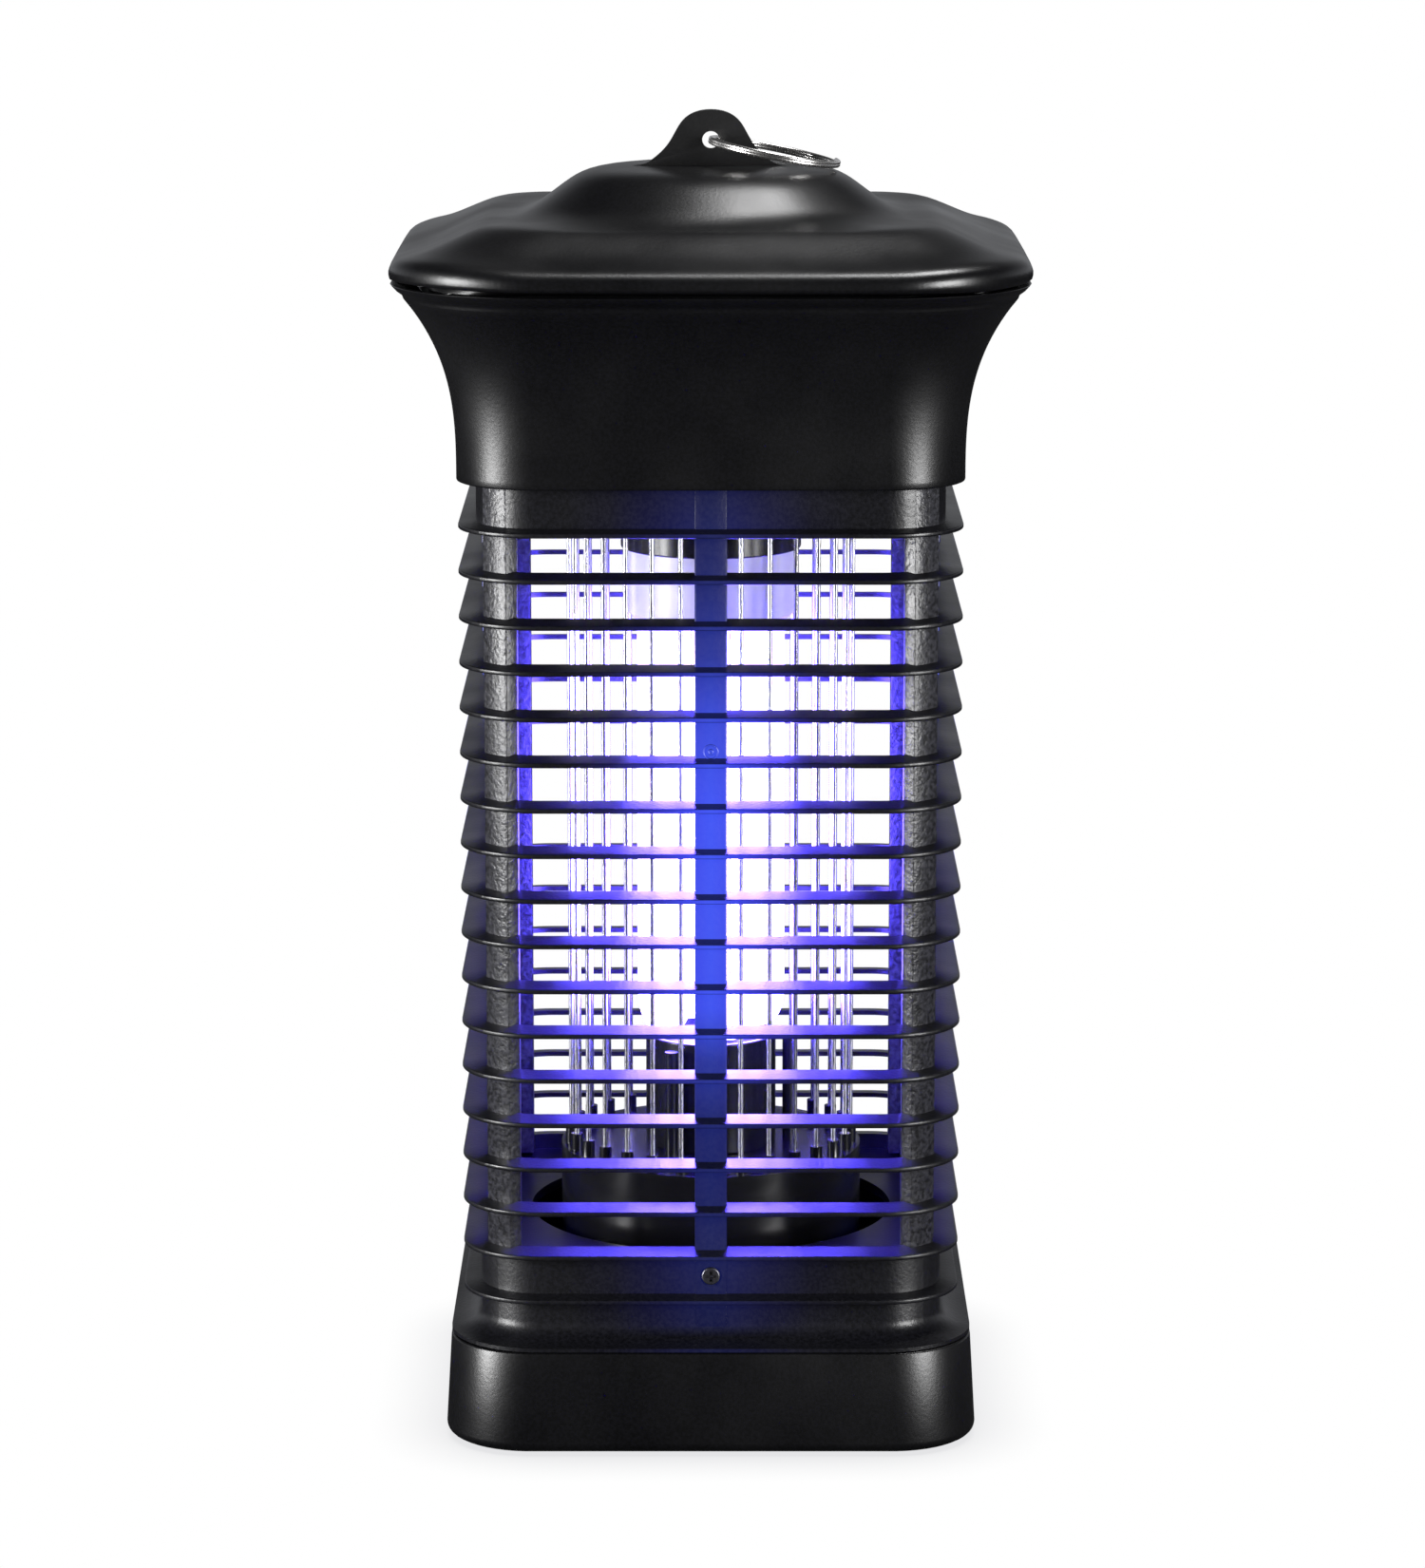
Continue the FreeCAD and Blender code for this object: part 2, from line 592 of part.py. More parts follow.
# Each roof section is (share of the height, share of the brim's half width, corner share).
ROOF_SECTIONS = (
    (0.00, 0.997, 0.49), (0.08, 1.006, 0.49), (0.16, 0.992, 0.48), (0.225, 0.945, 0.46),
    (0.30, 0.865, 0.42), (0.40, 0.785, 0.38), (0.485, 0.715, 0.38), (0.53, 0.655, 0.55),
    (0.57, 0.595, 0.85), (0.66, 0.53, 0.985), (0.80, 0.475, 0.985), (0.92, 0.42, 0.985),
    (0.985, 0.36, 0.985), (1.00, 0.26, 0.985),
)


def roof_section(shares, inset):
    height_share, half_share, corner_share = shares
    height = "roof_bottom + ( roof_top - roof_bottom ) * %g" % height_share
    if height_share:
        height += " - %s" % inset
    half = "brim_half * %g - %s" % (half_share, inset)
    return height, half, "( %s ) * %g" % (half, corner_share)


def make_roof():
    """Domed lid with a rolled brim, a slot for the hanger and four screw pillars."""
    body = new_body("roof_cap")
    loft(body, "AdditiveLoft", [roof_section(s, "0") for s in ROOF_SECTIONS])
    inner = [ROOF_SECTIONS[0]] + list(ROOF_SECTIONS[3:])
    loft(body, "SubtractiveLoft", [roof_section(s, "shell") for s in inner])
    doc.recompute()
    slot = new_sketch(body, "XY_Plane", "roof_top + 1")
    polygon(slot, [("-12.2", "-1.2"), ("12.2", "-1.2"), ("12.2", "1.2"), ("-12.2", "1.2")])
    pocket(body, slot, "8")
    pilots = new_sketch(body, "XY_Plane", "roof_top - shell - 0.1")
    for side in ("-14.2", "14.2"):
        circle(pilots, side, "0", "1.45")
    pocket(body, pilots, "1.7", reverse=True)
    for x, y in corners_of(1):
        sketch = new_sketch(body, "XY_Plane", "deck_bottom + deck_thick")
        across, up = "%d * pillar_place" % x, "%d * pillar_place" % y
        circle(sketch, across, up, "4.2")
        pad(body, sketch, "roof_bottom - deck_bottom - deck_thick + 11.0")
        doc.recompute()
        pilot = new_sketch(body, "XY_Plane", "deck_bottom + deck_thick")
        circle(pilot, across, up, "1.55")
        pocket(body, pilot, "20", reverse=True)


def make_hanger():
    """Bell-shaped plate with an eye, on a foot screwed under the roof."""
    eye, top, base = dim("eye_height"), dim("hanger_top"), dim("roof_top") + 0.2
    half = [Vector(0, 0, top), Vector(6.9, 0, top - 2.7), Vector(10.6, 0, eye - 1.3),
            Vector(14.6, 0, base + 1.4), Vector(20.5, 0, base)]
    right = Part.BSplineCurve()
    right.interpolate(half, InitialTangent=Vector(1, 0, 0), FinalTangent=Vector(1, 0, -0.1))
    left = right.copy()
    left.mirror(CENTRE, UP)
    foot = Part.LineSegment(half[-1], Vector(-half[-1].x, 0, base)).toShape()
    outline = Part.Wire(Part.sortEdges([right.toShape(), left.toShape(), foot])[0])
    thick = dim("hanger_thick")
    plate = Part.Face(outline).translated(Vector(0, -thick / 2, 0)).extrude(Vector(0, thick, 0))
    plate = plate.cut(Part.makeCylinder(dim("eye_radius"), 8, Vector(0, -4, eye), Vector(0, 1, 0)))
    shell_under = dim("roof_top") - dim("shell") - 0.1
    stem = Part.makeBox(24, thick, base + 0.1 - shell_under, Vector(-12, -thick / 2, shell_under))
    flange = Part.makeBox(34, 12, 1.6, Vector(-17, -6, shell_under - 1.6))
    for x in (-14.2, 14.2):
        flange = flange.cut(Part.makeCylinder(1.5, 4, Vector(x, 0, shell_under - 3)))
    solid_feature("hanger_plate", plate.multiFuse([stem, flange]).removeSplitter())


def make_split_ring():
    """Two turns of wire lying side by side, as one ring through the hanger's eye."""
    radius, wire = dim("ring_radius"), dim("ring_wire")
    turns = [Part.makeTorus(radius, wire * 1.05, Vector(0, 0, offset * wire))
             for offset in (-1, 1)]
    ring = turns[0].fuse(turns[1])
    turn = Rotation(Vector(0, 1, 0), dim("ring_droop"))
    centre = Vector(0, 0, dim("eye_height")) + turn.multVec(Vector(radius, 0, 0))
    solid_feature("split_ring", ring, Placement(centre, turn))


# ---------------------------------------------------------------- screws, circuit, inlet

def make_roof_screws():
    """Four screws up through the deck into the roof's pillars."""
    one = screw(3.0, 2.0, 1.5, 16.0)
    group = [one.translated(Vector(x, y, dim("deck_bottom")))
             for x, y in corners_of(dim("pillar_place"))]
    solid_feature("roof_screws", Part.makeCompound(group))


def make_hanger_screws():
    """Two screws up through the hanger's foot into the roof."""
    one = screw(2.6, 1.5, 1.4, 3.2)
    seat = dim("roof_top") - dim("shell") - 1.7
    group = [one.translated(Vector(x, 0, seat)) for x in (-14.2, 14.2)]
    solid_feature("hanger_screws", Part.makeCompound(group))


def make_board():
    """Small laminate board on four posts, and its screws."""
    deck, low, thick = dim("deck_bottom") + dim("deck_thick"), dim("board_height"), dim("board_thick")
    across, along = dim("board_across"), dim("board_along")
    plate = Part.makeBox(across, along, thick, Vector(-across / 2, -along / 2, low))
    inset, clearance, pilot = 4.0, 1.6, 1.2
    holes = [(sx * (across / 2 - inset), sy * (along / 2 - inset)) for sx, sy in corners_of(1)]
    for x, y in holes:
        plate = plate.cut(round_bar(clearance, low, low + thick, x, y))
    solid_feature("circuit_board", plate)
    posts = [round_bar(3.0, deck, low, x, y).cut(round_bar(pilot, low - 8, low, x, y))
             for x, y in holes]
    solid_feature("board_posts", Part.makeCompound(posts))
    fixing = screw(2.6, 1.5, pilot, 7.0).rotated(CENTRE, Vector(1, 0, 0), 180)
    fixings = [fixing.translated(Vector(x, y, low + thick)) for x, y in holes]
    solid_feature("board_screws", Part.makeCompound(fixings))


def make_board_pieces():
    """Transformer, five capacitors and the terminal block that the wires end in."""
    top = dim("board_height") + dim("board_thick")
    core = Part.makeBox(20, 18, 15, Vector(-26, -9, top))
    solid_feature("step_up_transformer", core.makeFillet(1.0, core.Edges))
    row, pitch = 14.0, 10.0
    places = [(4 + pitch * i, -row) for i in range(3)] + [(4 + pitch * i, row) for i in range(2)]
    cans = [round_bar(dim("can_radius"), top, top + dim("can_height"), x, y) for x, y in places]
    solid_feature("capacitors", Part.makeCompound(cans))
    width, deep, terminal = 16.0, 9.0, 1.8
    block = Part.makeBox(width, deep, deep, Vector(10, -deep / 2, top))
    for x in (14, 22):
        block = block.cut(round_bar(terminal, top + 4, top + deep, x, 0))
    solid_feature("terminal_block", block)


def make_cord_inlet():
    """Soft bush in the back of the housing that a mains cord passes through."""
    inside, outside = dim("waist_half") - dim("shell") - 3, dim("waist_half") + 6
    outer, bore = dim("inlet_outer"), dim("cord_radius")
    points = [(bore, 0), (outer, 0), (outer, 2.8), (outer - 2.1, 2.8), (outer - 2.1, 7.6),
              (outer, 7.6), (outer - 1.2, outside - inside), (bore, outside - inside)]
    corners = [Vector(r, 0, z) for r, z in points]
    section = Part.Face(Part.makePolygon(corners + corners[:1]))
    bush = section.revolve(CENTRE, UP, 360)
    lie_back = Placement(Vector(0, inside, dim("inlet_height")), Rotation(Vector(1, 0, 0), -90))
    solid_feature("cord_inlet", bush, lie_back)


# ---------------------------------------------------------------- build and write

def check_document():
    """Stop on any object that failed to recompute or gave a bad shape."""
    for obj in doc.Objects:
        if "Invalid" in obj.State or "Error" in obj.State:
            raise RuntimeError("%s failed to recompute" % obj.Name)
    for name, part in parts.items():
        if part.Shape.isNull() or not part.Shape.isValid():
            raise RuntimeError("%s has no valid shape" % name)


def write_parts():
    """One STEP file for each sub-part, named after its node."""
    os.makedirs("parts", exist_ok=True)
    for old in os.listdir("parts"):
        os.remove(os.path.join("parts", old))
    for name, part in parts.items():
        part.Shape.exportStep(os.path.join("parts", name + ".step"))
        print("%-22s %3d solids %10.1f mm3" % (name, len(part.Shape.Solids), part.Shape.Volume))


for make in (make_tray, make_foot_pads, make_cage, make_cage_screws, make_floor, make_drum,
             make_drum_arms, make_grid, make_upper_insulator, make_lamp, make_rest_posts,
             make_housing, make_deck, make_roof, make_hanger, make_split_ring,
             make_roof_screws, make_hanger_screws, make_board, make_board_pieces,
             make_cord_inlet):
    make()
doc.recompute()
check_document()
write_parts()
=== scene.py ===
import json
import math

import bmesh
import bpy
from mathutils import Matrix, Vector

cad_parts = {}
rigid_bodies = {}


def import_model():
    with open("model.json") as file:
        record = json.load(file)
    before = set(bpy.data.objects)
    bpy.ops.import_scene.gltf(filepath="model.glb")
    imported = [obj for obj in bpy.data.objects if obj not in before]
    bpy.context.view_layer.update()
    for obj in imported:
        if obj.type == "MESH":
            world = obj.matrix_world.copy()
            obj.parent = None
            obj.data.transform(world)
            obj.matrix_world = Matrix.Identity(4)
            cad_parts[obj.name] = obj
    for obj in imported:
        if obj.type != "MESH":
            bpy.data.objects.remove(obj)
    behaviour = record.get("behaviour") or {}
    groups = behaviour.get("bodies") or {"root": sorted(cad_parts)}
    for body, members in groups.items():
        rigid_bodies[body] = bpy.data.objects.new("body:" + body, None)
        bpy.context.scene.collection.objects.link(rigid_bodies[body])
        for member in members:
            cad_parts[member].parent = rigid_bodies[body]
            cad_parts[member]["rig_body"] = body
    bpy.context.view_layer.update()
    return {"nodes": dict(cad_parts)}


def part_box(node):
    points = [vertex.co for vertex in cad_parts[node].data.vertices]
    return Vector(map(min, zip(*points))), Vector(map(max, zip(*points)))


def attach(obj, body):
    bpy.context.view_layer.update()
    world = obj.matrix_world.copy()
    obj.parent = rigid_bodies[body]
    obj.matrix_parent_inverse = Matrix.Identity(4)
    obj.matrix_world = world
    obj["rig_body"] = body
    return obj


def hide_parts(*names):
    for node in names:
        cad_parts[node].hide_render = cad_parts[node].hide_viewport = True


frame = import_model()
nodes = frame["nodes"]
MM = 0.001


# ---- Pull-off tray ----------------------------------------------------------------------
# A square ABS pan, injection moulded with drawn-in sides so that it leaves the tool.
# Its outside has a fine spark-eroded texture, and two tongues inside click into the cage.

def linear(hex_colour):
    """sRGB hex to the linear colour that a shader socket takes."""
    channels = [int(hex_colour[i:i + 2], 16) / 255 for i in (1, 3, 5)]
    return tuple(c / 12.92 if c <= 0.04045 else ((c + 0.055) / 1.055) ** 2.4
                 for c in channels) + (1.0,)


def add(tree, kind, values=None, links=None, **settings):
    """One shader node with its settings, its socket values and its incoming links."""
    node = tree.nodes.new("ShaderNode" + kind)
    for name, value in settings.items():
        setattr(node, name, value)
    for socket, value in (values or {}).items():
        node.inputs[socket].default_value = value
    for socket, source in (links or {}).items():
        tree.links.new(source, node.inputs[socket])
    return node


def new_material(name):
    """An empty material: its node tree, the object's coordinates and the output node."""
    material = bpy.data.materials.new(name)
    material.use_nodes = True
    tree = material.node_tree
    tree.nodes.clear()
    place = add(tree, "TexCoord").outputs["Object"]
    return material, tree, place, add(tree, "OutputMaterial")


def moulded_plastic(name, dark, light, roughness, grain_mm, grain_depth, coat=0.0):
    """Moulded thermoplastic with an eroded texture: a grain of small round pits, a soft
    cloud in the gloss where the melt cooled unevenly, and a colour that hardly varies."""
    material, tree, place, output = new_material(name)
    grain = add(tree, "TexNoise", {"Scale": 1 / (grain_mm * MM), "Detail": 2.0}, {"Vector": place})
    cloud = add(tree, "TexNoise", {"Scale": 1 / (30 * MM), "Detail": 3.0}, {"Vector": place})
    tone = add(tree, "MapRange", {"From Min": 0.35, "From Max": 0.65},
               {"Value": grain.outputs["Fac"]})
    mix = add(tree, "MixRGB", {"Color1": linear(dark), "Color2": linear(light)},
              {"Fac": tone.outputs["Result"]})
    gloss = add(tree, "MapRange", {"From Min": 0.3, "From Max": 0.7,
                                   "To Min": roughness - 0.05, "To Max": roughness + 0.06},
                {"Value": cloud.outputs["Fac"]})
    bump = add(tree, "Bump", {"Strength": 1.0, "Distance": grain_depth * MM},
               {"Height": grain.outputs["Fac"]})
    shader = add(tree, "BsdfPrincipled", {"IOR": 1.53, "Coat Weight": coat,
                                          "Coat Roughness": 0.12},
                 {"Base Color": mix.outputs["Color"], "Roughness": gloss.outputs["Result"],
                  "Normal": bump.outputs["Normal"]})
    tree.links.new(shader.outputs["BSDF"], output.inputs["Surface"])
    return material


CORNER_STEPS = 12


def square_loop(bm, half, corner, height):
    """A round-cornered square of vertices, from a circle whose quarters are moved apart."""
    count = 4 * CORNER_STEPS
    turn = Matrix.Rotation(math.pi / count, 4, "Z")
    radius = corner / math.cos(math.pi / count)
    ring = bmesh.ops.create_circle(bm, segments=count, radius=radius, matrix=turn)["verts"]
    for vertex in ring:
        vertex.co.x += math.copysign(half - corner, vertex.co.x)
        vertex.co.y += math.copysign(half - corner, vertex.co.y)
        vertex.co.z = height
    return list({edge for vertex in ring for edge in vertex.link_edges})


def skin(bm, sections):
    """Bridge round-cornered squares given as (height, half width, corner); return the loops."""
    loops = [square_loop(bm, half, corner, height) for height, half, corner in sections]
    for lower, upper in zip(loops, loops[1:]):
        bmesh.ops.bridge_loops(bm, edges=lower + upper)
    return loops


def finish_piece(bm, name, material, sharp_angle=35):
    """Merge, turn the faces outward, shade smooth to a sharp angle and link the object."""
    bmesh.ops.remove_doubles(bm, verts=bm.verts, dist=0.002 * MM)
    bmesh.ops.recalc_face_normals(bm, faces=bm.faces)
    mesh = bpy.data.meshes.new(name)
    bm.to_mesh(mesh)
    bm.free()
    mesh.shade_smooth()
    mesh.set_sharp_from_angle(angle=math.radians(sharp_angle))
    mesh.materials.append(material)
    piece = bpy.data.objects.new(name, mesh)
    bpy.context.scene.collection.objects.link(piece)
    return piece


def ring_bevel(bm, loops, width, segments):
    """Round the edges of whole loops."""
    edges = [edge for loop in loops for edge in loop if edge.is_valid]
    bmesh.ops.bevel(bm, geom=edges, offset=width, offset_type="OFFSET", segments=segments,
                    profile=0.5, affect="EDGES", material=-1, clamp_overlap=True)


# The real grain is about 0.1 mm. Each grain here is drawn several times coarser, to show.
black_abs = moulded_plastic("black_abs_spark_eroded", "#040405", "#0a0a0d", 0.33, 0.8, 0.028)

tray_low, tray_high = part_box("collecting_tray")
TRAY_RIM_HEIGHT = 25.6 * MM
TRAY_RIM_HALF = 63.4 * MM
TRAY_CORNER = 21 * MM
TRAY_WALL = 2 * MM
tray = bmesh.new()
foot_half = tray_high.x
loops = skin(tray, [(tray_low.z, foot_half, TRAY_CORNER),
                    (TRAY_RIM_HEIGHT, TRAY_RIM_HALF, TRAY_CORNER),
                    (TRAY_RIM_HEIGHT, TRAY_RIM_HALF - TRAY_WALL, TRAY_CORNER - TRAY_WALL),
                    (tray_low.z + TRAY_WALL, foot_half - TRAY_WALL, TRAY_CORNER - TRAY_WALL)])
for end in (loops[0], loops[-1]):
    bmesh.ops.contextual_create(tray, geom=end)
ring_bevel(tray, [loops[0]], 2.6 * MM, 5)
ring_bevel(tray, [loops[1], loops[2]], 0.5 * MM, 3)
TONGUE = Vector((2, 14, 33)) * MM
for side in (-1, 1):
    middle = Vector((side * 52 * MM, 0, tray_high.z - TONGUE.z / 2))
    tongue = bmesh.ops.create_cube(tray, size=1, matrix=Matrix.LocRotScale(middle, None, TONGUE))
    edges = list({edge for vertex in tongue["verts"] for edge in vertex.link_edges})
    bmesh.ops.bevel(tray, geom=edges, offset=0.4 * MM, segments=2, profile=0.5, affect="EDGES",
                    material=-1)
tray_piece = finish_piece(tray, "tray_pan", black_abs)
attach(tray_piece, "tray")
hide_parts("collecting_tray")


# ---- Foot pads --------------------------------------------------------------------------
# Die-cut discs of soft black rubber on adhesive, pressed into round recesses in the pan.
# Rubber is matt, a little grey with bloom and slightly dimpled.

soft_rubber = moulded_plastic("matt_black_rubber", "#151515", "#1e1d1c", 0.78, 0.9, 0.03)


def dress(node, material):
    """Give a carried-over part its material."""
    mesh = nodes[node].data
    mesh.materials.clear()
    mesh.materials.append(material)


dress("foot_pads", soft_rubber)


# ---- Louvred cage -----------------------------------------------------------------------
# Four ABS sides, each one moulding: eighteen blades that slope out and down, a plain band
# above and below them, a centre rib and a flared foot that sits on the tray.

cage_abs = moulded_plastic("cage_abs_spark_eroded_painted_glow", "#060609", "#121217", 0.34, 0.9, 0.06)


def paint_lamp_glow(material, low, high):
    """Painted glow: a blue emission that stands in for the lamp's light soaking through the centre
    ribs and the blades' edges beside them, and for its bloom. It fades away from the middle of
    each side and towards the cage's ends, and lies on upright faces only."""
    tree = material.node_tree
    place = next(node for node in tree.nodes if node.type == "TEX_COORD").outputs["Object"]
    shader = next(node for node in tree.nodes if node.type == "BSDF_PRINCIPLED")
    axes = add(tree, "SeparateXYZ", None, {"Vector": place})
    across, along = [add(tree, "Math", None, {0: axes.outputs[axis]}, operation="ABSOLUTE")
                     for axis in "XY"]
    aside = add(tree, "Math", None, {0: across.outputs[0], 1: along.outputs[0]},
                operation="MINIMUM")
    near = add(tree, "MapRange", {"From Min": 0.0, "From Max": 34 * MM},
               {"Value": aside.outputs[0]})
    sideways = add(tree, "ValToRGB", None, {"Fac": near.outputs["Result"]})
    ramp = sideways.color_ramp.elements
    ramp[0].color, ramp[1].color = linear("#3f55f5"), (0, 0, 0, 1)
    for spot, colour in ((0.16, "#3a46ea"), (0.40, "#2a2cae"), (0.70, "#110d50")):
        ramp.new(spot).color = linear(colour)
    level = add(tree, "MapRange", {"From Min": low, "From Max": high},
                {"Value": axes.outputs["Z"]})
    upward = add(tree, "ValToRGB", None, {"Fac": level.outputs["Result"]})
    ramp = upward.color_ramp.elements
    ramp[0].color, ramp[1].color = [(v, v, v, 1) for v in (0.04, 0.035)]
    for spot, share in ((0.12, 0.10), (0.26, 0.16), (0.33, 0.36), (0.39, 0.95), (0.62, 1.0),
                        (0.72, 0.75), (0.79, 0.34), (0.88, 0.14)):
        ramp.new(spot).color = (share, share, share, 1)
    # The painted glow: the sideways colour times the height profile.
    glow = add(tree, "MixRGB", {"Fac": 1.0}, {"Color1": sideways.outputs["Color"],
                                              "Color2": upward.outputs["Color"]},
               blend_type="MULTIPLY")
    facing = add(tree, "SeparateXYZ", None,
                 {"Vector": add(tree, "NewGeometry").outputs["Normal"]}).outputs["Z"]
    slope = add(tree, "Math", None, {0: facing}, operation="ABSOLUTE")
    upright = add(tree, "MapRange", {"From Min": 0.85, "From Max": 0.3},
                  {"Value": slope.outputs[0]})
    # The painted glow goes in as emission, strongest on upright faces.
    tree.links.new(glow.outputs["Color"], shader.inputs["Emission Color"])
    tree.links.new(upright.outputs["Result"], shader.inputs["Emission Strength"])


cage_low, cage_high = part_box("cage_front")
# Paint the lamp's blue glow onto the cage plastic as emission.
paint_lamp_glow(cage_abs, cage_low.z, cage_high.z)
LIP_HALF = -cage_low.y - 3.1 * MM
CORNER_CENTRE = 41.1 * MM
WALL_OUT, WALL_IN = 56 * MM, 54 * MM
BLADE_COUNT, BLADE_PITCH = 18, 11 * MM
FIRST_LIP = 223.8 * MM
BLADE_THICK, BLADE_RISE = 1.2 * MM, 0.8 * MM
RIB_HALF, RIB_FRONT = 3.85 * MM, 56.25 * MM
SCREW_HEIGHT, SCREW_WELL = 43 * MM, 2.6 * MM
RIB_DEEP, RIB_EASE = 2.4 * MM, 0.35 * MM
CORNER_FACETS, EIGHTH_TURN = 8, math.pi / 4
QUARTERS = [math.radians(angle) for angle in (0, 90, 180, 270)]


def turn_corner(bm, edges, centre):
    """Carry a section an eighth of a turn about an upright axis; return its last edges."""
    turned = bmesh.ops.spin(bm, geom=edges, axis=(0, 0, 1), cent=centre, dvec=(0, 0, 0),
                            angle=EIGHTH_TURN, steps=CORNER_FACETS)
    return [item for item in turned["geom_last"] if isinstance(item, bmesh.types.BMEdge)]


def wrap_round(bm, outline):
    """Carry a closed wall section, given as (distance from the middle, height), along the
    front and half way round both corners."""
    points = [bm.verts.new((-CORNER_CENTRE, -out, height)) for out, height in outline]
    edges = [bm.edges.new(pair) for pair in zip(points, points[1:] + points[:1])]
    left, right = [Vector((side * CORNER_CENTRE, -CORNER_CENTRE, 0)) for side in (-1, 1)]
    bmesh.ops.rotate(bm, verts=points, cent=left, matrix=Matrix.Rotation(-EIGHTH_TURN, 3, "Z"))
    bmesh.ops.contextual_create(bm, geom=edges)
    edges = turn_corner(bm, edges, left)
    grown = bmesh.ops.extrude_edge_only(bm, edges=edges)["geom"]
    moved = [item for item in grown if isinstance(item, bmesh.types.BMVert)]
    bmesh.ops.translate(bm, verts=moved, vec=right - left)
    edges = [item for item in grown if isinstance(item, bmesh.types.BMEdge)
             and all(vertex in moved for vertex in item.verts)]
    bmesh.ops.contextual_create(bm, geom=turn_corner(bm, edges, right))


def add_rib(bm, low, high):
    """The upright centre rib, with the round well that the fixing screw sits in."""
    corners = [bm.verts.new((x, -RIB_FRONT, z)) for x, z in
               ((-RIB_HALF, low), (RIB_HALF, low), (RIB_HALF, high), (-RIB_HALF, high))]
    edges = [bm.edges.new(pair) for pair in zip(corners, corners[1:] + corners[:1])]
    lie = Matrix.Translation((0, -RIB_FRONT, SCREW_HEIGHT)) @ Matrix.Rotation(math.pi / 2, 4, "X")
    well = bmesh.ops.create_circle(bm, segments=32, radius=SCREW_WELL, matrix=lie)["verts"]
    edges += list({edge for vertex in well for edge in vertex.link_edges})
    filled = bmesh.ops.triangle_fill(bm, use_beauty=True, edges=edges)["geom"]
    faces = [item for item in filled if isinstance(item, bmesh.types.BMFace)]
    grown = bmesh.ops.extrude_face_region(bm, geom=faces, use_keep_orig=True)["geom"]
    moved = [item for item in grown if isinstance(item, bmesh.types.BMVert)]
    bmesh.ops.translate(bm, verts=moved, vec=(0, RIB_DEEP, 0))
    border = [edge for edge in edges[:len(corners)] if edge.is_valid]
    bmesh.ops.bevel(bm, geom=border, offset=RIB_EASE, segments=2, profile=0.5, affect="EDGES",
                    material=-1)


PIN_HEIGHT = 172 * MM
PIN_RINGS = ((1.7 * MM, 0.22 * MM), (0.45 * MM, 0.3 * MM))


def add_pin_mark(bm):
    """A raised ring and a dot where an ejector pin pushed the moulding out."""
    upright = Matrix.Rotation(math.pi / 2, 4, "X")
    before = set(bm.verts)
    for radius, wire in PIN_RINGS:
        place = Matrix.Translation((radius, 0, 0)) @ upright
        ring = bmesh.ops.create_circle(bm, segments=8, radius=wire, matrix=place)["verts"]
        edges = list({edge for vertex in ring for edge in vertex.link_edges})
        bmesh.ops.spin(bm, geom=edges, axis=(0, 0, 1), cent=(0, 0, 0), dvec=(0, 0, 0),
                       angle=2 * math.pi, steps=24, use_merge=True)
    lie = Matrix.Translation((0, -RIB_FRONT, PIN_HEIGHT)) @ upright
    bmesh.ops.transform(bm, matrix=lie, verts=[v for v in bm.verts if v not in before])


panel = bmesh.new()
LIP_EASE = 0.38 * MM
for number in range(BLADE_COUNT):
    lip = FIRST_LIP - BLADE_PITCH * number
    lip_top = lip + BLADE_THICK
    bead = [(LIP_HALF - LIP_EASE * (1 - math.cos(turn)), middle + LIP_EASE * math.sin(turn))
            for middle, quarter in ((lip + LIP_EASE, -90), (lip_top - LIP_EASE, 0))
            for turn in (math.radians(quarter + 30 * step) for step in range(4))]
    wrap_round(panel, bead + [(WALL_IN, lip_top + BLADE_RISE), (WALL_IN, lip + BLADE_RISE)])
band_low = FIRST_LIP + BLADE_RISE
wrap_round(panel, [(WALL_IN, band_low), (WALL_OUT, band_low), (WALL_OUT, cage_high.z),
                   (WALL_IN, cage_high.z)])
skirt_top = FIRST_LIP - BLADE_PITCH * (BLADE_COUNT - 2) + BLADE_RISE
FOOT_HALF, FLARE_TOP, FLARE_EDGE = -cage_low.y, 31.5 * MM, 26.8 * MM
flare = [(WALL_OUT + (FOOT_HALF - WALL_OUT) * (1 - math.cos(turn)),
          FLARE_EDGE + (FLARE_TOP - FLARE_EDGE) * (1 - math.sin(turn)))
         for turn in (math.radians(9 * step) for step in range(11))]
under_flare = [(FOOT_HALF, cage_low.z), (WALL_OUT + 3 * MM, cage_low.z),
               (WALL_IN, cage_low.z + 3.6 * MM)]
wrap_round(panel, [(WALL_IN, skirt_top), (WALL_OUT, skirt_top)] + flare + under_flare)
add_rib(panel, FLARE_TOP - RIB_DEEP, cage_high.z)
add_pin_mark(panel)
for name, angle in zip(("front", "right", "back", "left"), QUARTERS):
    side = panel.copy()
    bmesh.ops.rotate(side, verts=side.verts, matrix=Matrix.Rotation(angle, 3, "Z"))
    side_piece = finish_piece(side, "louvres_" + name, cage_abs, 40)
    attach(side_piece, "lantern")
    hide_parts("cage_" + name)
panel.free()


# ---- Corner columns ---------------------------------------------------------------------
# Upright ABS columns that the four sides close on. Their outside lies flush with the bands
# and carries a coarser eroded grain than the blades, so it sparkles in side light.

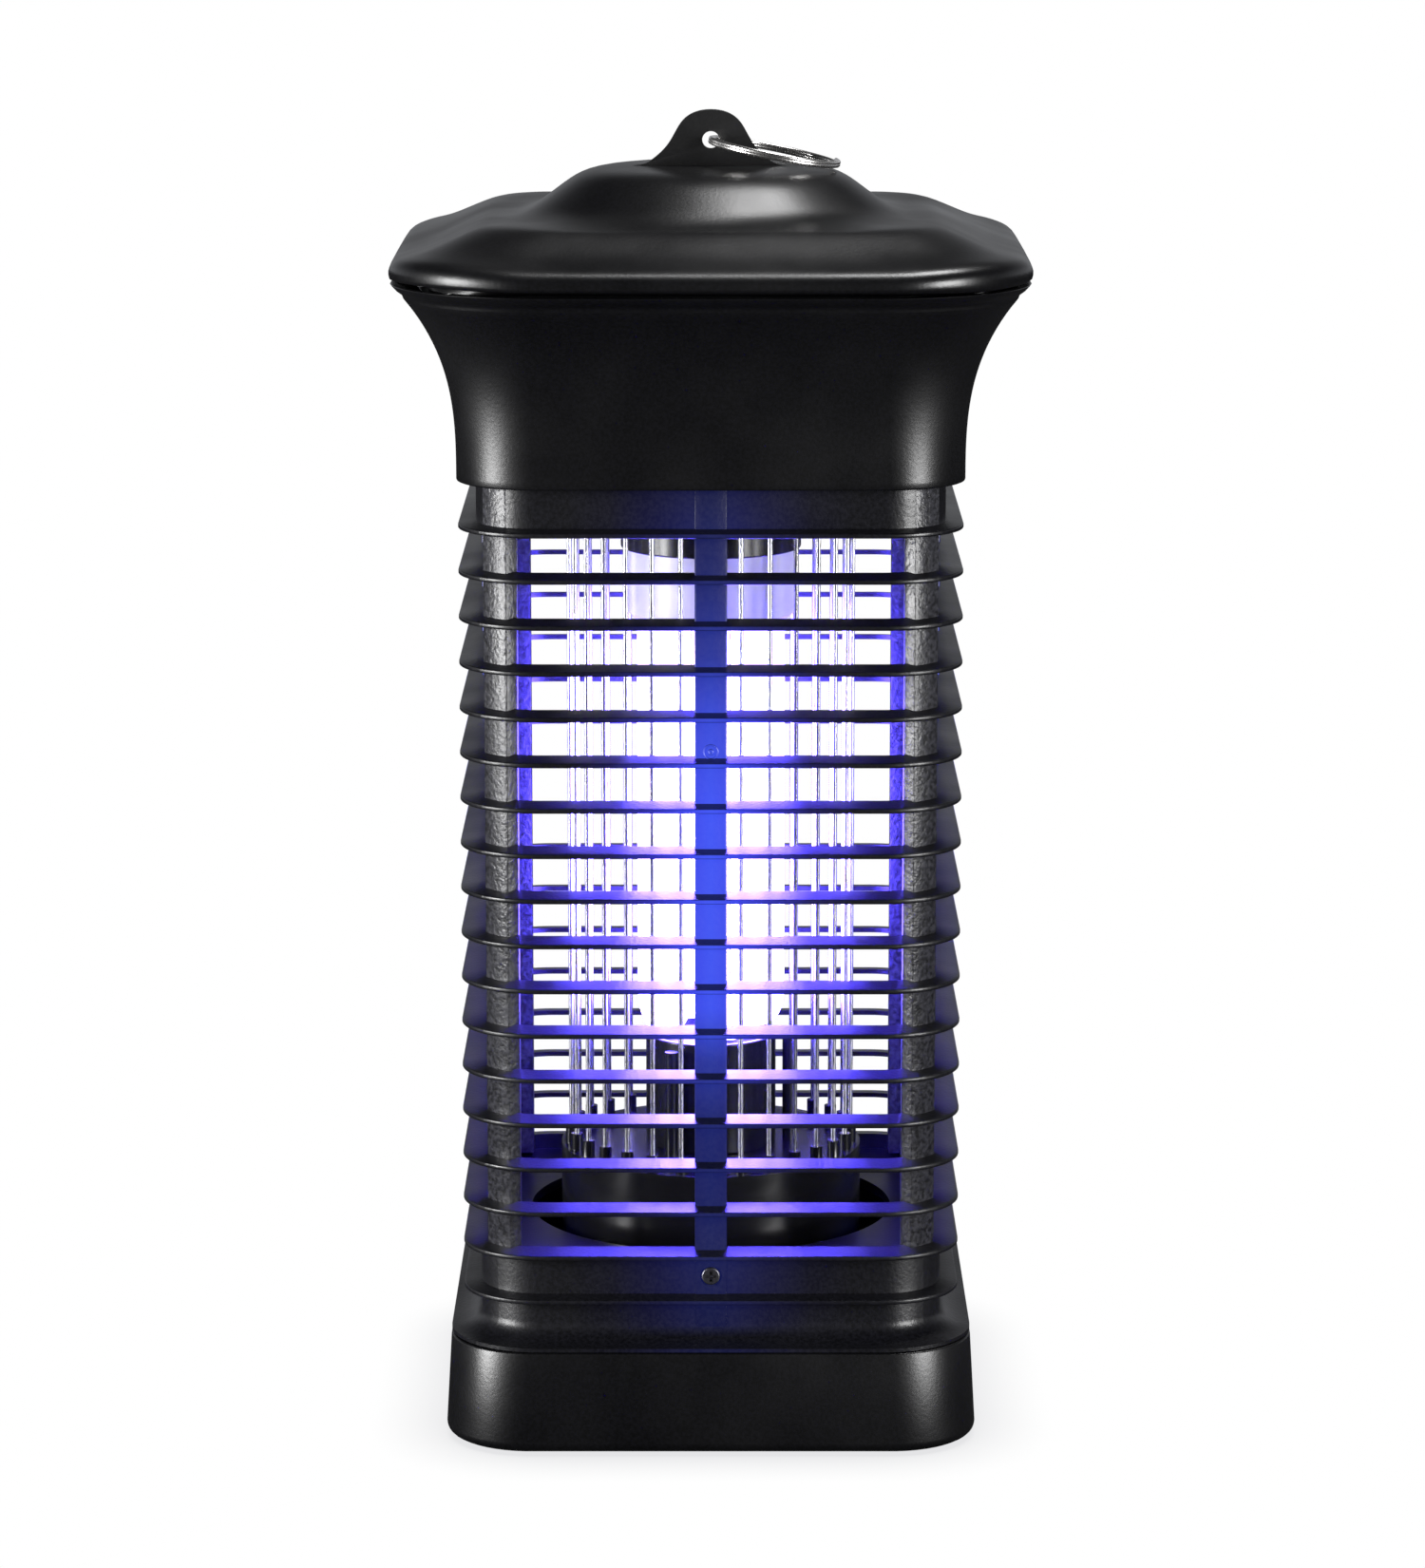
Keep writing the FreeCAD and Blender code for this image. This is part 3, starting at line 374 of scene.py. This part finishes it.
column_abs = moulded_plastic("column_abs_coarse_grain", "#0c0c10", "#34343a", 0.36, 1.1, 0.2)
columns_low, columns_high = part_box("cage_columns")
COLUMN_INNER, COLUMN_EDGE, COLUMN_CHAMFER = 46 * MM, 48.4 * MM, 2 * MM
arc_radius = WALL_OUT + 0.08 * MM - CORNER_CENTRE
first = math.acos((COLUMN_EDGE - CORNER_CENTRE) / arc_radius)
columns = bmesh.new()
for quarter in QUARTERS:
    arc = [first + (math.pi / 2 - 2 * first) * step / 8 for step in range(9)]
    outline = [(CORNER_CENTRE + arc_radius * math.cos(a), -CORNER_CENTRE - arc_radius * math.sin(a))
               for a in arc]
    outline += [(outline[-1][0] - COLUMN_CHAMFER, -COLUMN_INNER), (COLUMN_INNER, -COLUMN_INNER),
                (COLUMN_INNER, outline[0][1] + COLUMN_CHAMFER)]
    base = columns.faces.new([columns.verts.new((x, y, columns_low.z)) for x, y in outline])
    grown = bmesh.ops.extrude_face_region(columns, geom=[base], use_keep_orig=True)["geom"]
    top = [item for item in grown if isinstance(item, bmesh.types.BMVert)]
    bmesh.ops.translate(columns, verts=top, vec=(0, 0, columns_high.z - columns_low.z))
    bmesh.ops.rotate(columns, verts=top + list(base.verts), matrix=Matrix.Rotation(quarter, 3, "Z"))
sharp = [edge for edge in columns.edges if edge.calc_face_angle(0) > math.radians(25)]
bmesh.ops.bevel(columns, geom=sharp, offset=0.25 * MM, segments=2, profile=0.5, affect="EDGES",
                material=-1)
columns_piece = finish_piece(columns, "corner_columns", column_abs, 30)
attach(columns_piece, "lantern")
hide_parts("cage_columns")


# ---- Floor, drum and arms ---------------------------------------------------------------
# The floor plate is the same black ABS. The drum and its bosses are glass-filled PBT, which
# moulds glossy and stands the grid's voltage; four short arms hang it in the well.

def softened(node, name, material, width_mm, sharp=35):
    """A copy of a part's mesh with its hard edges rounded over."""
    bm = bmesh.new()
    bm.from_mesh(nodes[node].data)
    bmesh.ops.remove_doubles(bm, verts=bm.verts, dist=0.004 * MM)
    bmesh.ops.dissolve_limit(bm, angle_limit=math.radians(1.0), verts=bm.verts, edges=bm.edges)
    mesh = bpy.data.meshes.new(name)
    bm.to_mesh(mesh)
    bm.free()
    mesh.shade_smooth()
    mesh.set_sharp_from_angle(angle=math.radians(sharp))
    mesh.materials.append(material)
    piece = bpy.data.objects.new(name, mesh)
    bpy.context.scene.collection.objects.link(piece)
    edge = piece.modifiers.new("rounded edges", "BEVEL")
    edge.width = width_mm * MM
    edge.segments = 2
    edge.limit_method = "ANGLE"
    edge.angle_limit = math.radians(sharp)
    edge.use_clamp_overlap = True
    edge.harden_normals = True
    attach(piece, nodes[node]["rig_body"])
    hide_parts(node)
    return piece


def gloss_plastic(name, dark, light, roughness):
    """Smooth moulded thermoset or PBT: near black, glossy, with faint flow marks."""
    material, tree, place, output = new_material(name)
    flow = add(tree, "TexNoise", {"Scale": 1 / (14 * MM), "Detail": 4.0, "Distortion": 0.6},
               {"Vector": place})
    mix = add(tree, "MixRGB", {"Color1": linear(dark), "Color2": linear(light)},
              {"Fac": flow.outputs["Fac"]})
    gloss = add(tree, "MapRange", {"To Min": roughness - 0.05, "To Max": roughness + 0.08},
                {"Value": flow.outputs["Fac"]})
    bump = add(tree, "Bump", {"Strength": 0.25, "Distance": 0.03 * MM},
               {"Height": flow.outputs["Fac"]})
    shader = add(tree, "BsdfPrincipled", {"IOR": 1.58},
                 {"Base Color": mix.outputs["Color"], "Roughness": gloss.outputs["Result"],
                  "Normal": bump.outputs["Normal"]})
    tree.links.new(shader.outputs["BSDF"], output.inputs["Surface"])
    return material


black_pbt = gloss_plastic("black_pbt_moulded", "#0c0c10", "#15151a", 0.22)
floor_piece = softened("floor_plate", "floor_with_well", black_abs, 0.5)
drum_piece = softened("lower_insulator", "drum_with_bosses", black_pbt, 0.3)
upper_insulator_piece = softened("upper_insulator", "upper_wire_holder", black_pbt, 0.3)
for node in ("drum_skirt", "drum_arms"):
    dress(node, black_pbt)


# ---- Wire grid --------------------------------------------------------------------------
# Upright rods of hard-drawn steel wire, nickel plated, so each shows one thin bright line.
# Drawing leaves fine lengthwise scratches.

def plated_wire(name, hex_colour, roughness):
    """Bright plated metal with lengthwise drawing lines."""
    material, tree, place, output = new_material(name)
    stretch = add(tree, "Mapping", {"Scale": (1 / (0.2 * MM), 1 / (0.2 * MM), 1 / (6 * MM))},
                  {"Vector": place})
    lines = add(tree, "TexNoise", {"Scale": 1.0, "Detail": 2.0},
                {"Vector": stretch.outputs["Vector"]})
    gloss = add(tree, "MapRange", {"To Min": roughness - 0.06, "To Max": roughness + 0.08},
                {"Value": lines.outputs["Fac"]})
    bump = add(tree, "Bump", {"Strength": 0.08, "Distance": 0.01 * MM},
               {"Height": lines.outputs["Fac"]})
    shader = add(tree, "BsdfPrincipled", {"Base Color": linear(hex_colour), "Metallic": 1.0},
                 {"Roughness": gloss.outputs["Result"], "Normal": bump.outputs["Normal"]})
    tree.links.new(shader.outputs["BSDF"], output.inputs["Surface"])
    return material


bright_wire = plated_wire("nickel_plated_steel_wire", "#f2f0ee", 0.26)
for node in ("live_wires", "return_wires", "live_contact_ring", "return_contact_ring"):
    dress(node, bright_wire)


# ---- Lamp -------------------------------------------------------------------------------
# Four folded fluorescent tubes with an ultraviolet phosphor on a white PBT ballast case.
# The glass glows evenly and is a little dimmer near its ends; a dark holder grips the case.

def glowing_glass(name, hex_glow, strength, low, high):
    """Lit phosphor-coated glass: the glow fades over the last part of the tube's length."""
    material, tree, place, output = new_material(name)
    height = add(tree, "SeparateXYZ", None, {"Vector": place}).outputs["Z"]
    share = add(tree, "MapRange", {"From Min": low, "From Max": high}, {"Value": height})
    profile = add(tree, "ValToRGB", None, {"Fac": share.outputs["Result"]})
    profile.color_ramp.interpolation = "EASE"
    profile.color_ramp.elements[0].color = (0.75, 0.75, 0.75, 1)
    profile.color_ramp.elements[1].color = (0.16, 0.16, 0.16, 1)
    full = profile.color_ramp.elements.new(0.12)
    full.color = (1, 1, 1, 1)
    fading = profile.color_ramp.elements.new(0.70)
    fading.color = (1, 1, 1, 1)
    power = add(tree, "Math", {1: strength}, {0: profile.outputs["Color"]}, operation="MULTIPLY")
    shader = add(tree, "BsdfPrincipled",
                 {"Base Color": linear("#cfd0ff"), "Roughness": 0.08, "IOR": 1.52,
                  "Emission Color": linear(hex_glow)},
                 {"Emission Strength": power.outputs["Value"]})
    tree.links.new(shader.outputs["BSDF"], output.inputs["Surface"])
    return material


tubes_low, tubes_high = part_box("lamp_tubes")
dress("lamp_tubes", glowing_glass("lit_ultraviolet_glass", "#5848ff", 105.0,
                                  tubes_low.z, tubes_high.z))
white_pbt = gloss_plastic("white_pbt_moulded", "#d6d4e2", "#e6e4ee", 0.3)
dress("lamp_ballast", white_pbt)
dress("lamp_screw_cap", bright_wire)
holder_piece = softened("lamp_holder", "lamp_holder_shell", black_pbt, 0.5)
rest_piece = softened("lamp_rest", "lamp_rest_cup", black_pbt, 0.4)
dress("lamp_pegs", black_pbt)


# ---- Upper housing ----------------------------------------------------------------------
# A flared square shell of the black ABS, moulded with a 2.2 mm wall. Its side stays nearly
# upright and then sweeps out to the brim; a shallow groove runs round under the parting.

housing_low, housing_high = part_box("upper_housing")
WAIST_HALF = 60.6 * MM
WAIST_CORNER, BRIM_CORNER = 20 * MM, 38.5 * MM
SHELL = 2.2 * MM
FLARE_STEPS = 26


def flare_section(share, inset):
    """Height, half width and corner of the wall: the width grows with the height's cube."""
    height = housing_low.z + (housing_high.z - housing_low.z) * share
    half = WAIST_HALF + (housing_high.x - WAIST_HALF) * share ** 3
    corner = WAIST_CORNER + (BRIM_CORNER - WAIST_CORNER) * share ** 3
    return height, half - inset, corner - inset


GROOVE_CENTRE, GROOVE_HALF, GROOVE_DEPTH = 0.945, 0.022, 0.5 * MM
shares = sorted({step / FLARE_STEPS for step in range(FLARE_STEPS + 1)}
                | {GROOVE_CENTRE + GROOVE_HALF * k for k in (-1, -0.5, 0, 0.5, 1)})
outside = [flare_section(s, GROOVE_DEPTH * max(0.0, 1 - abs(s - GROOVE_CENTRE) / GROOVE_HALF))
           for s in shares]
inside = [flare_section(step / 8, SHELL) for step in range(8, -1, -1)]
housing = bmesh.new()
loops = skin(housing, outside + inside)
bmesh.ops.bridge_loops(housing, edges=loops[0] + loops[-1])
outer_top, inner_top = loops[len(outside) - 1], loops[len(outside)]
ring_bevel(housing, [loops[0], loops[-1]], 0.4 * MM, 2)
ring_bevel(housing, [outer_top, inner_top], 0.5 * MM, 3)
housing_piece = finish_piece(housing, "flared_housing", black_abs, 50)
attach(housing_piece, "lantern")
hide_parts("upper_housing")
dress("deck_plate", black_abs)
dress("cord_inlet", soft_rubber)


# ---- Roof -------------------------------------------------------------------------------
# Domed lid of the black ABS: a rolled brim, a dished slope with a hip at each corner, a low
# square tier, and a round dome with a flat crown that the hanger plate stands on. A
# tongue under the rim drops inside the housing.

roof_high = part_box("roof_cap")[1]
ROOF_BASE = 282.3 * MM
ROOF_SECTIONS = (
    # share of the height, of the brim's half width, corner share of the half, hip in mm
    (0.00, 0.995, 0.49, 0.0), (0.035, 1.003, 0.49, 0.3), (0.09, 1.006, 0.49, 1.0),
    (0.145, 0.997, 0.48, 1.6), (0.185, 0.975, 0.47, 1.9), (0.21, 0.945, 0.46, 1.9),
    (0.25, 0.900, 0.44, 1.7), (0.31, 0.850, 0.42, 1.5), (0.38, 0.800, 0.39, 1.4),
    (0.445, 0.750, 0.37, 1.5), (0.485, 0.712, 0.36, 1.6), (0.505, 0.680, 0.42, 1.3),
    (0.522, 0.640, 0.60, 0.7), (0.55, 0.600, 0.85, 0.2), (0.61, 0.560, 0.99, 0.0),
    (0.69, 0.525, 0.99, 0.0), (0.78, 0.487, 0.99, 0.0), (0.86, 0.453, 0.99, 0.0),
    (0.925, 0.418, 0.99, 0.0), (0.965, 0.380, 0.99, 0.0), (0.99, 0.33, 0.99, 0.0),
    (1.00, 0.25, 0.99, 0.0),
)


def lift_corners(edges, hip):
    """Raise a loop towards its four corners, most on the diagonals."""
    for vertex in {v for edge in edges for v in edge.verts}:
        across, along = abs(vertex.co.x), abs(vertex.co.y)
        vertex.co.z += hip * (2 * across * along / (across ** 2 + along ** 2)) ** 4


brim_half = roof_high.x / 1.006
crown = roof_high.z
TONGUE_HALF, TONGUE_DEEP = 73.4 * MM, 1.5 * MM
roof = bmesh.new()
outer_loops = [square_loop(roof, TONGUE_HALF, TONGUE_HALF * 0.49, ROOF_BASE - level)
               for level in (TONGUE_DEEP, 0)]
inner_half = TONGUE_HALF - 1.4 * MM
inner_loops = [square_loop(roof, inner_half, inner_half * 0.49, ROOF_BASE - TONGUE_DEEP)]
for height, width, round_share, hip in ROOF_SECTIONS:
    half = brim_half * width
    outer_loops.append(square_loop(roof, half, half * round_share,
                                   ROOF_BASE + (crown - ROOF_BASE) * height))
    lift_corners(outer_loops[-1], hip * MM)
for height, width, round_share, hip in ROOF_SECTIONS[5:]:
    half = brim_half * width - SHELL
    level = ROOF_BASE + (crown - ROOF_BASE) * height - SHELL
    inner_loops.append(square_loop(roof, half, half * round_share, level))
    lift_corners(inner_loops[-1], hip * MM)
for stack in (outer_loops, inner_loops):
    for lower, upper in zip(stack, stack[1:]):
        bmesh.ops.bridge_loops(roof, edges=lower + upper)
    bmesh.ops.contextual_create(roof, geom=stack[-1])
bmesh.ops.bridge_loops(roof, edges=outer_loops[0] + inner_loops[0])
roof_piece = finish_piece(roof, "domed_roof", black_abs, 50)
smooth = roof_piece.modifiers.new("smooth dome", "SUBSURF")
smooth.levels = smooth.render_levels = 1
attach(roof_piece, "lantern")
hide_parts("roof_cap")


# ---- Hanger plate and split ring --------------------------------------------------------
# The plate is stamped steel with a black powder coat. The ring is two turns of nickelled
# spring wire, wound so that each end overlaps the next turn.

powder_coat = moulded_plastic("black_powder_coated_steel", "#0a0a0b", "#101011", 0.42, 0.7, 0.02)
hanger_piece = softened("hanger_plate", "hanger_tab", powder_coat, 0.35)

eye = Vector((0, 0, 312.6)) * MM
RING_RADIUS, RING_WIRE, RING_DROOP = 15.7 * MM, 0.62 * MM, math.radians(11)
RING_TURNS, STEPS_PER_TURN = 1.94, 72
ring_mesh = bmesh.new()
section = bmesh.ops.create_circle(ring_mesh, segments=10, radius=RING_WIRE)["verts"]
bmesh.ops.rotate(ring_mesh, verts=section, matrix=Matrix.Rotation(math.pi / 2, 3, "X"))
bmesh.ops.translate(ring_mesh, verts=section, vec=(RING_RADIUS, 0, -RING_WIRE))
edges = list({edge for vertex in section for edge in vertex.link_edges})
bmesh.ops.contextual_create(ring_mesh, geom=edges)
wound = bmesh.ops.spin(ring_mesh, geom=edges, axis=(0, 0, 1), cent=(0, 0, 0),
                       dvec=(0, 0, 2 * RING_WIRE / (RING_TURNS * STEPS_PER_TURN)),
                       angle=RING_TURNS * 2 * math.pi, steps=int(RING_TURNS * STEPS_PER_TURN))
last = [item for item in wound["geom_last"] if isinstance(item, bmesh.types.BMEdge)]
bmesh.ops.contextual_create(ring_mesh, geom=last)
lay = Matrix.Translation(eye) @ Matrix.Rotation(RING_DROOP, 4, "Y")
lay = lay @ Matrix.Translation((RING_RADIUS, 0, 0)) @ Matrix.Rotation(math.radians(35), 4, "Z")
bmesh.ops.transform(ring_mesh, matrix=lay, verts=ring_mesh.verts)
ring_piece = finish_piece(ring_mesh, "wound_split_ring", bright_wire, 60)
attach(ring_piece, "ring")
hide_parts("split_ring")


# ---- Circuit, behind the housing wall ---------------------------------------------------
# Green FR4 board with a taped transformer, sleeved capacitors and a white terminal block,
# held by zinc-plated screws. It is seen only when the housing is open.

zinc_steel = plated_wire("zinc_plated_screw_steel", "#b9bcc2", 0.32)
for node in ("roof_screws", "hanger_screws", "board_screws"):
    dress(node, zinc_steel)
dress("cage_screws", plated_wire("black_oxide_screw_steel", "#6a6a72", 0.38))
dress("circuit_board", gloss_plastic("green_solder_mask", "#0f4a22", "#17602e", 0.3))
dress("board_posts", white_pbt)
dress("step_up_transformer", gloss_plastic("amber_polyester_tape", "#b7831c", "#cf9a2c", 0.35))
dress("capacitors", gloss_plastic("blue_shrink_sleeve", "#101c3c", "#182a52", 0.25))
dress("terminal_block", white_pbt)


# ---- Floor, light and camera ------------------------------------------------------------
# A plain floor that the camera sees the white room through, with a soft contact shade under
# the object, so the lowered tray and the underside show as well. Two tall soft boxes stand
# to the left and right of the front, and one lies overhead, so the black plastic shows soft
# upright highlights at its corners.

def area_light(name, place, target, size, power):
    """A white oblong soft box that faces its target."""
    data = bpy.data.lights.new(name, "AREA")
    data.shape = "RECTANGLE"
    data.size, data.size_y = size
    data.energy = power
    light = bpy.data.objects.new(name, data)
    light.location = place
    direction = Vector(target) - Vector(place)
    light.rotation_euler = direction.to_track_quat("-Z", "Y").to_euler()
    bpy.context.scene.collection.objects.link(light)


floor_mesh = bmesh.new()
bmesh.ops.create_grid(floor_mesh, x_segments=1, y_segments=1, size=30)
material, tree, place, output = new_material("pale_floor")
haze = add(tree, "TexNoise", {"Scale": 2.0}, {"Vector": place})
grey = add(tree, "MixRGB", {"Color1": linear("#2e2e2e"), "Color2": linear("#323232")},
           {"Fac": haze.outputs["Fac"]})
paper = add(tree, "BsdfDiffuse", None, {"Color": grey.outputs["Color"]})
contact = add(tree, "AmbientOcclusion", {"Distance": 0.02})
near = add(tree, "MapRange", {"From Min": 0.35, "From Max": 1.0}, {"Value": contact.outputs["AO"]})
tint = add(tree, "MixRGB", {"Color1": linear("#e4e4e6"), "Color2": linear("#ffffff")},
           {"Fac": near.outputs["Result"]})
clear = add(tree, "BsdfTransparent", None, {"Color": tint.outputs["Color"]})
ray = add(tree, "LightPath")
through = add(tree, "Math", None,
              {0: ray.outputs["Is Camera Ray"], 1: ray.outputs["Is Shadow Ray"]},
              operation="MAXIMUM")
seen = add(tree, "MixShader", None, {"Fac": through.outputs["Value"],
                                     1: paper.outputs["BSDF"], 2: clear.outputs["BSDF"]})
tree.links.new(seen.outputs["Shader"], output.inputs["Surface"])
floor_object = finish_piece(floor_mesh, "floor", material)

MIDDLE = (0, 0, 0.17)
area_light("left_soft_box", (-1.21, -0.55, 0.32), MIDDLE, (0.46, 0.62), 31)
area_light("right_soft_box", (1.06, -0.85, 0.32), MIDDLE, (0.52, 0.62), 21)
area_light("overhead_soft_box", (0.32, 0.20, 1.45), (0, 0, 0.30), (0.50, 0.55), 13)

world = bpy.data.worlds.new("studio")
world.use_nodes = True
tree = world.node_tree
tree.nodes.clear()
way = add(tree, "SeparateXYZ", None, {"Vector": add(tree, "TexCoord").outputs["Generated"]})
behind = add(tree, "MapRange", {"From Min": -0.1, "From Max": 0.6, "To Min": 0.0, "To Max": 0.48},
             {"Value": way.outputs["Y"]})
low_down = add(tree, "MapRange", {"From Min": 0.45, "From Max": 0.1, "To Min": 0.03},
               {"Value": way.outputs["Z"]})
depth = add(tree, "Math", {2: 0.008}, {0: behind.outputs["Result"], 1: low_down.outputs["Result"]},
            operation="MULTIPLY_ADD")
room = add(tree, "Background", {"Color": (0.93, 0.95, 1, 1)}, {"Strength": depth.outputs["Value"]})
pale = add(tree, "Background", {"Color": (1, 1, 1, 1), "Strength": 1.0})
ray = add(tree, "LightPath")
seen = add(tree, "MixShader", None, {"Fac": ray.outputs["Is Camera Ray"],
                                     1: room.outputs["Background"],
                                     2: pale.outputs["Background"]})
add(tree, "OutputWorld", None, {"Surface": seen.outputs["Shader"]})
bpy.context.scene.world = world
bpy.context.scene.view_settings.view_transform = "Standard"

camera_data = bpy.data.cameras.new("camera")
camera_data.sensor_width = 36.0
camera_data.sensor_fit = "HORIZONTAL"
camera_data.lens = 36.0 * 5909 / 1500
camera = bpy.data.objects.new("camera", camera_data)
camera.location = (0.0004, -1.3669, 0.4204)
camera.rotation_euler = (math.radians(90 - 11.056), 0, 0)
bpy.context.scene.collection.objects.link(camera)
bpy.context.scene.camera = camera
